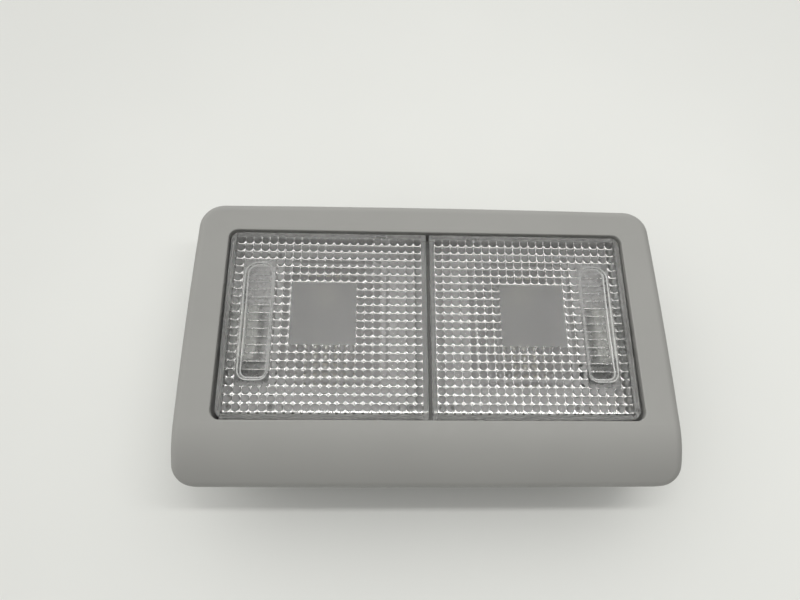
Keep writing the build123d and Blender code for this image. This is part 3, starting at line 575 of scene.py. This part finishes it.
    # foot: straight sides, half-round tip
    r = (gx[fx1] - gx[fx0]) / 2
    cx = (gx[fx0] + gx[fx1]) / 2
    prof = [(gx[fx0], FLAT_Z)] + [(cx - r * math.cos(math.pi * k / 14), FOOT_TIP + r - r * math.sin(math.pi * k / 14)) for k in range(15)] + [(gx[fx1], FLAT_Z)]
    lines = []
    for k, (x, z) in enumerate(prof):
        if k == 0:
            lines.append([grid[fx0][b] for b in range(fy0, fy1 + 1)])
        elif k == len(prof) - 1:
            lines.append([grid[fx1][b] for b in range(fy0, fy1 + 1)])
        else:
            lines.append([add(x, gy[b], z) for b in range(fy0, fy1 + 1)])
    for la, lb in zip(lines, lines[1:]):
        for k in range(len(la) - 1):
            face((la[k], la[k + 1], lb[k + 1], lb[k]), 1)
    front = [ln[0] for ln in lines] + [grid[a][fy0] for a in range(fx1 - 1, fx0, -1)]
    rear = [ln[-1] for ln in lines] + [grid[a][fy1] for a in range(fx1 - 1, fx0, -1)]
    face(front, 1, False)
    face(list(reversed(rear)), 1, False)
    for lp in (front, rear):
        for e in loop_edges(lp):
            e.smooth = False
    # inside of the skirt
    rim_in = [grid[a][0] for a in range(len(gx))] + [grid[-1][b] for b in range(1, len(gy))] + [grid[a][-1] for a in range(len(gx) - 2, -1, -1)] + [grid[0][b] for b in range(len(gy) - 2, 0, -1)]
    low = [add(s * v.co.x / MM, v.co.y / MM, LENS_BOTTOM) for v in rim_in]
    ring(rim_in, low)
    for lp in (rim_in, low):
        for e in loop_edges(lp):
            e.smooth = False
    corner = [0, len(gx) - 1, len(gx) - 1 + len(gy) - 1, 2 * (len(gx) - 1) + len(gy) - 1]
    for k in corner:
        e = bm.edges.get((rim_in[k], low[k]))
        if e:
            e.smooth = False
    fill((0, 0, -1), loops[0], low, smooth=False, mat=2)

    # trunnions: wall patch with a round hole, pin, chamfered end
    for first, y_wall, y_end, out in ((FRONT_PATCH, LENS_Y0, -29.2, -1), (REAR_PATCH, LENS_Y1, 37.4, 1)):
        patch = [loops[2][first], loops[2][first + 1], loops[3][first + 1], loops[3][first]]
        n = 32
        stations = [(0.0, PIN_R + 0.25), (0.07, PIN_R + 0.07), (0.25, PIN_R), (abs(y_end - y_wall) - 0.3, PIN_R), (abs(y_end - y_wall), PIN_R - 0.3)]
        rings = []
        for off, rad in stations:
            rings.append([add(PIVOT_X + rad * math.cos(2 * math.pi * k / n), y_wall + out * off, PIVOT_Z + rad * math.sin(2 * math.pi * k / n)) for k in range(n)])
        fill((0, out, 0), patch, rings[0])
        for ra, rb in zip(rings, rings[1:]):
            ring(ra, rb, mat=2)
        face(rings[-1], 2, False)
        for e in loop_edges(rings[-2]) + loop_edges(rings[-1]):
            e.smooth = False

    bmesh.ops.recalc_face_normals(bm, faces=bm.faces)
    me = bpy.data.meshes.new(name)
    for m in ("lens_clear", "lens_frosted", "lens_rim", "lens_soft", "lens_bead", "lens_pillow"):
        me.materials.append(MATS[m].m)
    bm.to_mesh(me)
    bm.free()
    obj = bpy.data.objects.new(name, me)
    scene.collection.objects.link(obj)
    return obj


for side, s in (("left", -1), ("right", 1)):
    lens = lens_piece(side + "_push_lens_optic", s)
    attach(lens, side + "_push_lens")
    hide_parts(side + "_lens")


# ------------------------------------------------------------------ plunger springs
def spring(side, s):
    """Coil with closed, flattened end turns."""
    z0, z1, turns, wire = 4.21, 20.39, 8.0, 0.25
    n = 400
    k = np.linspace(0, 1, n)
    # height against turns: slow over the end turns, even in between
    slow = np.interp(k, [0, 0.08, 0.92, 1], [0, 0.035, 0.965, 1])
    a = 2 * math.pi * turns * k
    pts = np.c_[58.0 + 2.2 * np.cos(a), 1.5 + 2.2 * np.sin(a), z0 + (z1 - z0) * slow]
    v, f = tube(pts, wire, 12)
    v = [tuple(q) for q in v]
    if s < 0:
        v, f = mirror_x(v, f)
    obj = new_piece(side + "_return_spring", v, f)
    finish_piece(obj, "spring_steel")
    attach(obj, "base")
    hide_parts(side + "_plunger_spring")
    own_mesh(obj)


for side, s in (("left", -1), ("right", 1)):
    spring(side, s)


# ------------------------------------------------------------------ bulbs
def revolve_y(profile, cx, cy, cz, n=48):
    """Closed profile of (y, r) turned about the line along Y through (cx, cy, cz)."""
    verts, faces = [], []
    m = len(profile)
    for k in range(n):
        a = 2 * math.pi * k / n
        for y, r in profile:
            verts.append((cx + r * math.cos(a), cy + y, cz + r * math.sin(a)))
    for k in range(n):
        k2 = (k + 1) % n
        for i in range(m):
            i2 = (i + 1) % m
            faces.append((k * m + i, k * m + i2, k2 * m + i2, k2 * m + i))
    return verts, faces


def bulb(side, s):
    cx, cy, cz = 33.4, 6.65, 14.0
    # thin glass envelope, drawn in at both caps
    outer = [(-7.95, 3.35), (-7.2, 3.4), (-6.9, 3.55), (-6.6, 3.85), (-6.3, 4.15), (-5.9, 4.33), (-5.4, 4.38)]
    outer += [(-y, r) for y, r in reversed(outer)]
    inner = [(y * 0.97, r - 0.45) for y, r in reversed(outer)]
    v, f = revolve_y(outer + inner, cx, cy, cz)
    f = [tuple(reversed(q)) for q in f]
    if s < 0:
        v, f = mirror_x(v, f)
    glass = new_piece(side + "_bulb_envelope", v, f)
    finish_piece(glass, "bulb_glass")
    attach(glass, "base")
    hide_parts(side + "_bulb_glass")
    # filament between its two support wires
    k = np.linspace(0, 1, 420)
    a = 2 * math.pi * 22 * k
    coil = np.c_[cx + 0.32 * np.cos(a), cy - 4.2 + 8.4 * k, cz + 0.9 - 1.1 * 4 * k * (1 - k) * 0.35 + 0.32 * np.sin(a)]
    wires = [tube(coil, 0.06, 6)]
    for e in (-1, 1):
        t = np.linspace(0, 1, 14)
        lead = np.c_[cx + 0.0 * t + 0.32 * (1 - t), cy + e * (4.2 + 3.9 * t), cz + 0.9 * (1 - t) ** 1.5]
        wires.append(tube(lead, 0.11, 8))
    v, f = joined(*wires)
    if s < 0:
        v, f = mirror_x(v, f)
    wire = new_piece(side + "_bulb_filament", v, f)
    finish_piece(wire, "spring_steel")
    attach(wire, "base")


for side, s in (("left", -1), ("right", 1)):
    bulb(side, s)


# ------------------------------------------------------------------ finishes of the carried-over pieces
FINISH = {
    "bezel": "bezel_grey",
    "housing": "case_grey",
    "connector_socket": "socket_dark",
    "feed_busbar": "contact_brass",
    "ground_busbar": "contact_brass",
    "case_screws": "zinc_steel",
}
for side in ("left", "right"):
    FINISH[side + "_lens"] = "lens_clear"
    FINISH[side + "_reflector"] = "reflector_white"
    FINISH[side + "_bulb_glass"] = "bulb_glass"
    FINISH[side + "_bulb_caps"] = "bulb_metal"
    FINISH[side + "_lamp_busbar"] = "contact_brass"
    FINISH[side + "_switch_body"] = "switch_grey"
    FINISH[side + "_plunger"] = "plunger_white"
    FINISH[side + "_plunger_spring"] = "spring_steel"
    FINISH[side + "_contact_bridge"] = "contact_brass"
    FINISH[side + "_mount_clip"] = "spring_steel"
for n, m in FINISH.items():
    finish_piece(nodes[n], m)


# ------------------------------------------------------------------ floor and light
def floor():
    n, half = 24, 2.5
    verts = [(-half + 2 * half * i / n, -half + 2 * half * j / n, 0.0) for j in range(n + 1) for i in range(n + 1)]
    faces = [(j * (n + 1) + i, j * (n + 1) + i + 1, (j + 1) * (n + 1) + i + 1, (j + 1) * (n + 1) + i) for j in range(n) for i in range(n)]
    me = bpy.data.meshes.new("floor")
    me.from_pydata(verts, [], faces)
    obj = bpy.data.objects.new("floor", me)
    scene.collection.objects.link(obj)
    m = Mat("floor_pale").set(Specular_IOR_Level=0.25)
    m.color(m.ramp(m.noise(9.0, 4.0), [(0.3, (0.79, 0.795, 0.78)), (0.7, (0.81, 0.815, 0.80))]))
    m.rough(m.span(m.noise(60.0, 3.0), 0.55, 0.65))
    obj.data.materials.append(m.m)


floor()


def area_light(name, loc, look, size_x, size_y, power, colour=(1, 1, 1)):
    data = bpy.data.lights.new(name, "AREA")
    data.shape = "RECTANGLE"
    data.size, data.size_y = size_x, size_y
    data.energy = power
    data.color = colour
    obj = bpy.data.objects.new(name, data)
    obj.location = loc
    obj.rotation_euler = (Vector(look) - Vector(loc)).to_track_quat("-Z", "Y").to_euler()
    scene.collection.objects.link(obj)
    return obj


area_light("key", (0.054, 0.016, 0.34), (0.054, 0.016, 0.0), 0.262, 0.018, 0.3, (1.0, 1.0, 0.97))

# soft surround: brightest from the rear, then overhead and from the left, dim from the front
world = bpy.data.worlds.new("studio")
scene.world = world
world.use_nodes = True
wt = world.node_tree
bg = wt.nodes["Background"]
bg.inputs["Color"].default_value = (1.0, 1.0, 0.967, 1.0)
where = wt.nodes.new("ShaderNodeTexCoord")
axes = wt.nodes.new("ShaderNodeSeparateXYZ")
wt.links.new(where.outputs["Generated"], axes.inputs["Vector"])


def wmath(op, a, b):
    n = wt.nodes.new("ShaderNodeMath")
    n.operation = op
    for sock, v in zip(n.inputs, (a, b)):
        if isinstance(v, (int, float)):
            sock.default_value = v
        else:
            wt.links.new(v, sock)
    return n.outputs[0]


def towards(axis, sign):
    """0 away from the axis, about 1 along it, with a soft change between."""
    d = wmath("MULTIPLY", axes.outputs[axis], sign)
    return wmath("MULTIPLY", wmath("ADD", d, wmath("SQRT", wmath("ADD", wmath("MULTIPLY", d, d), 0.0625), 0.0)), 0.5)


up = wmath("MAXIMUM", axes.outputs["Z"], 0.0)
higher = wmath("ADD", wmath("MULTIPLY", up, 0.8), 0.45)
glow = wmath("MULTIPLY", wmath("MULTIPLY", towards("Y", 1.0), higher), 1.63)
glow = wmath("ADD", glow, wmath("MULTIPLY", wmath("MULTIPLY", towards("X", -1.0), higher), 1.0))
glow = wmath("ADD", glow, wmath("MULTIPLY", towards("Y", -1.0), 0.2))
glow = wmath("ADD", glow, wmath("MULTIPLY", wmath("POWER", up, 4.0), 0.32))
wt.links.new(glow, bg.inputs["Strength"])

scene.view_settings.view_transform = "Standard"
scene.view_settings.look = "None"
scene.cycles.max_bounces = 24
scene.cycles.transmission_bounces = 20
scene.cycles.glossy_bounces = 8
scene.cycles.diffuse_bounces = 6
